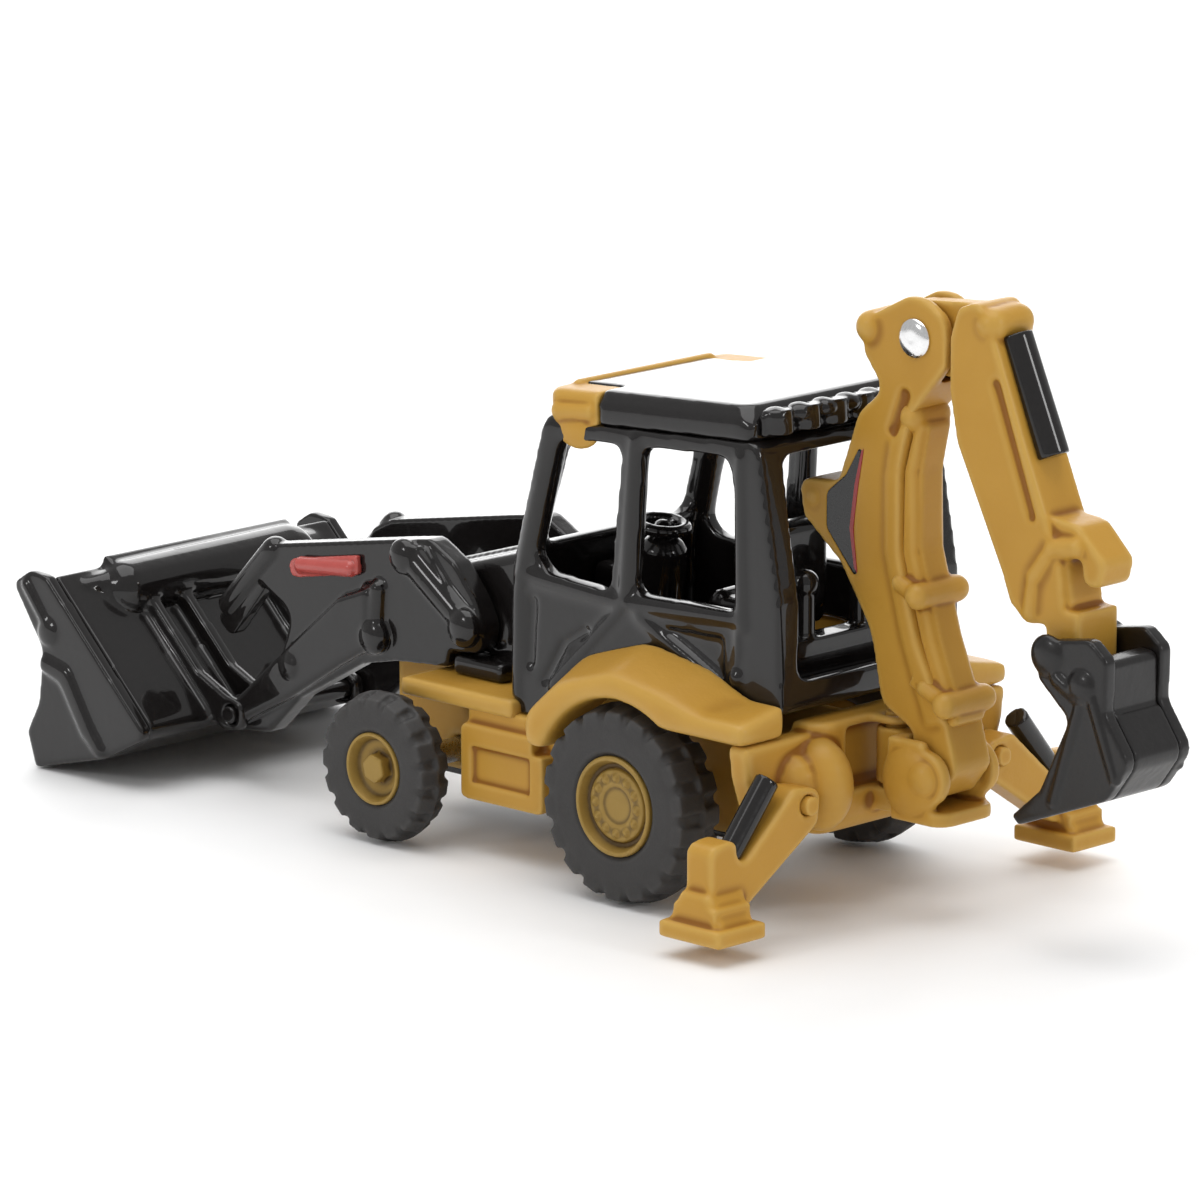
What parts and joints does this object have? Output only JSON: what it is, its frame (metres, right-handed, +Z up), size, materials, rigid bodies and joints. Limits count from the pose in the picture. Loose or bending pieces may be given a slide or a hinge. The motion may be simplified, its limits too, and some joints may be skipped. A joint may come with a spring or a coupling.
{
  "type": "toy backhoe loader",
  "caption": "Pocket-size die-cast backhoe loader with an open cab, a front loader bucket on lifting arms, a swinging digging arm behind and two folding stabiliser legs.",
  "frame": {"origin": "on the ground under the middle of the overall length and width", "axes": "+X forward to the loader bucket, +Y to the left, +Z up"},
  "size_m": [0.0894, 0.0374, 0.04],
  "materials": {
    "black_enamel": "thick gloss black enamel",
    "yellow_enamel": "satin mustard-yellow enamel",
    "tyre_rubber": "matte dark rubber",
    "rim_gold": "dull gold paint with a dark wash",
    "axle_steel": "turned steel",
    "rivet_metal": "bright rolled rivet head",
    "inner_black": "gloss black moulding",
    "base_black": "matte black moulding",
    "red_enamel": "semi-gloss light red enamel",
    "panel_black": "printed black panel with a plain red stripe"
  },
  "bodies": {
    "body": {"chassis_frame": "yellow_enamel", "belly_plate": "base_black", "base_screw_rear": "axle_steel", "base_screw_front": "axle_steel", "step_box_left": "yellow_enamel", "step_box_right": "yellow_enamel", "fender_left": "yellow_enamel", "fender_right": "yellow_enamel", "hood": "black_enamel", "grille": "black_enamel", "arm_pivot_pin": "black_enamel", "cab_frame": "black_enamel", "cab_roof": "black_enamel", "roof_front_trim": "yellow_enamel", "roof_rear_trim": "black_enamel", "seat": "inner_black", "control_console": "inner_black", "steering_console": "inner_black", "rear_frame": "yellow_enamel", "swing_pin": "yellow_enamel", "stabiliser_pin_left": "yellow_enamel", "stabiliser_pin_right": "yellow_enamel"},
    "rear_wheels": {"rear_axle": "axle_steel", "rear_rim_left": "rim_gold", "rear_rim_right": "rim_gold", "rear_tyre_left": "tyre_rubber", "rear_tyre_right": "tyre_rubber"},
    "front_wheels": {"front_axle": "axle_steel", "front_rim_left": "rim_gold", "front_rim_right": "rim_gold", "front_tyre_left": "tyre_rubber", "front_tyre_right": "tyre_rubber"},
    "loader_arms": {"loader_arm_left": "black_enamel", "loader_arm_right": "black_enamel", "arm_cross_tube": "black_enamel", "arm_brace_left": "red_enamel", "arm_brace_right": "red_enamel", "bucket_pin": "black_enamel"},
    "loader_bucket": {"bucket_cheek_left": "black_enamel", "bucket_cheek_right": "black_enamel", "bucket_shell": "black_enamel", "bucket_edge": "black_enamel"},
    "swing_post": {"swing_casting": "yellow_enamel", "boom_foot_pin": "yellow_enamel"},
    "boom_arm": {"boom": "yellow_enamel", "boom_panel_left": "panel_black", "boom_panel_right": "panel_black", "boom_ram": "yellow_enamel", "stick_rivet": "rivet_metal"},
    "stick_arm": {"stick": "yellow_enamel", "stick_ram": "black_enamel", "hoe_pin": "black_enamel"},
    "hoe_bucket": {"hoe_side_left": "black_enamel", "hoe_side_right": "black_enamel", "hoe_shell": "black_enamel"},
    "leg_left": {"stabiliser_leg_left": "yellow_enamel", "stabiliser_cylinder_left": "black_enamel"},
    "leg_right": {"stabiliser_leg_right": "yellow_enamel", "stabiliser_cylinder_right": "black_enamel"}
  },
  "joints": [
    {"name": "rear_axle_spin", "type": "hinge", "parent": "body", "child": "rear_wheels", "pos_m": [-0.01045, 0, 0.0065], "axis": [0, 1, 0], "continuous": true},
    {"name": "front_axle_spin", "type": "hinge", "parent": "body", "child": "front_wheels", "pos_m": [0.01165, 0, 0.00505], "axis": [0, 1, 0], "continuous": true},
    {"name": "loader_lift", "type": "hinge", "parent": "body", "child": "loader_arms", "pos_m": [0.00875, 0, 0.0137], "axis": [0, -1, 0], "range_deg": [0, 38]},
    {"name": "loader_bucket_tilt", "type": "hinge", "parent": "loader_arms", "child": "loader_bucket", "pos_m": [0.03025, 0, 0.0047], "axis": [0, -1, 0], "range_deg": [-30, 12]},
    {"name": "boom_swing", "type": "hinge", "parent": "body", "child": "swing_post", "pos_m": [-0.02335, 0, 0.01], "axis": [0, 0, 1], "range_deg": [-32, 32]},
    {"name": "boom_lower", "type": "hinge", "parent": "swing_post", "child": "boom_arm", "pos_m": [-0.02795, 0, 0.0096], "axis": [0, -1, 0], "range_deg": [0, 50]},
    {"name": "stick_open", "type": "hinge", "parent": "boom_arm", "child": "stick_arm", "pos_m": [-0.0261, 0, 0.03715], "axis": [0, 1, 0], "range_deg": [0, 60]},
    {"name": "hoe_bucket_curl", "type": "hinge", "parent": "stick_arm", "child": "hoe_bucket", "pos_m": [-0.03855, 0, 0.0189], "axis": [0, 1, 0], "range_deg": [-15, 40]},
    {"name": "stabiliser_left_fold", "type": "hinge", "parent": "body", "child": "leg_left", "pos_m": [-0.02305, 0.009, 0.0084], "axis": [1, 0, 0], "range_deg": [0, 55]},
    {"name": "stabiliser_right_fold", "type": "hinge", "parent": "body", "child": "leg_right", "pos_m": [-0.02305, -0.009, 0.0084], "axis": [-1, 0, 0], "range_deg": [0, 55]}
  ]
}
